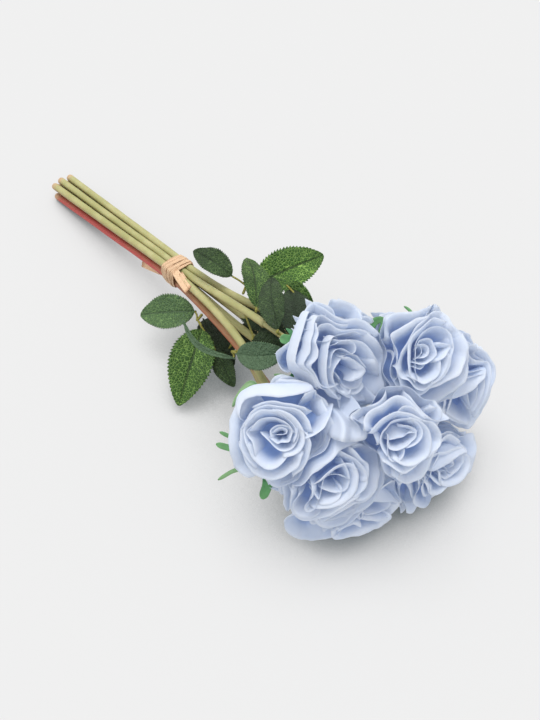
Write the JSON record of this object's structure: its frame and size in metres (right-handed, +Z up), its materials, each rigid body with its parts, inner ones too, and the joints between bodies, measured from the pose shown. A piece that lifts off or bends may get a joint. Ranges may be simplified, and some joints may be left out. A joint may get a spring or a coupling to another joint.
{
  "type": "bunch of roses",
  "caption": "Tied bunch of artificial roses lying on its side: layered pale blue fabric blooms, green calyxes, moulded stems, serrated leaves and a raffia tie.",
  "frame": {"origin": "centre of the footprint, on the surface that the bunch lies on", "axes": "+X along the bunch from the cut ends of the stems to the blooms, +Z up, +Y across"},
  "size_m": [0.4532, 0.204, 0.1604],
  "materials": {
    "petal_fabric": "thin pale blue silk-like fabric, matt, paler at the rims and deeper blue in the folds",
    "calyx_plastic": "soft moulded green plastic, matt",
    "stem_plastic": "moulded olive green plastic with tan ends and a reddish blush, satin",
    "leaf_fabric": "printed green fabric with a raised pale vein net, grey-green underneath, matt",
    "raffia": "dry peach-coloured raffia strip with fine lengthwise fibres"
  },
  "bodies": {
    "root": {"bloom_1": "petal_fabric", "bloom_2": "petal_fabric", "bloom_3": "petal_fabric", "bloom_4": "petal_fabric", "bloom_5": "petal_fabric", "bloom_6": "petal_fabric", "bloom_7": "petal_fabric", "bloom_8": "petal_fabric", "calyx_1": "calyx_plastic", "calyx_2": "calyx_plastic", "calyx_3": "calyx_plastic", "calyx_4": "calyx_plastic", "calyx_5": "calyx_plastic", "calyx_6": "calyx_plastic", "calyx_7": "calyx_plastic", "calyx_8": "calyx_plastic", "stem_1": "stem_plastic", "stem_2": "stem_plastic", "stem_3": "stem_plastic", "stem_4": "stem_plastic", "stem_5": "stem_plastic", "stem_6": "stem_plastic", "stem_7": "stem_plastic", "stem_8": "stem_plastic", "leaf_spray_1": "leaf_fabric", "leaf_spray_2": "leaf_fabric", "leaf_spray_3": "leaf_fabric", "leaf_spray_4": "leaf_fabric", "leaf_spray_5": "leaf_fabric", "leaf_spray_6": "leaf_fabric", "leaf_spray_7": "leaf_fabric", "leaf_spray_8": "leaf_fabric", "raffia_tie": "raffia"}
  },
  "joints": []
}
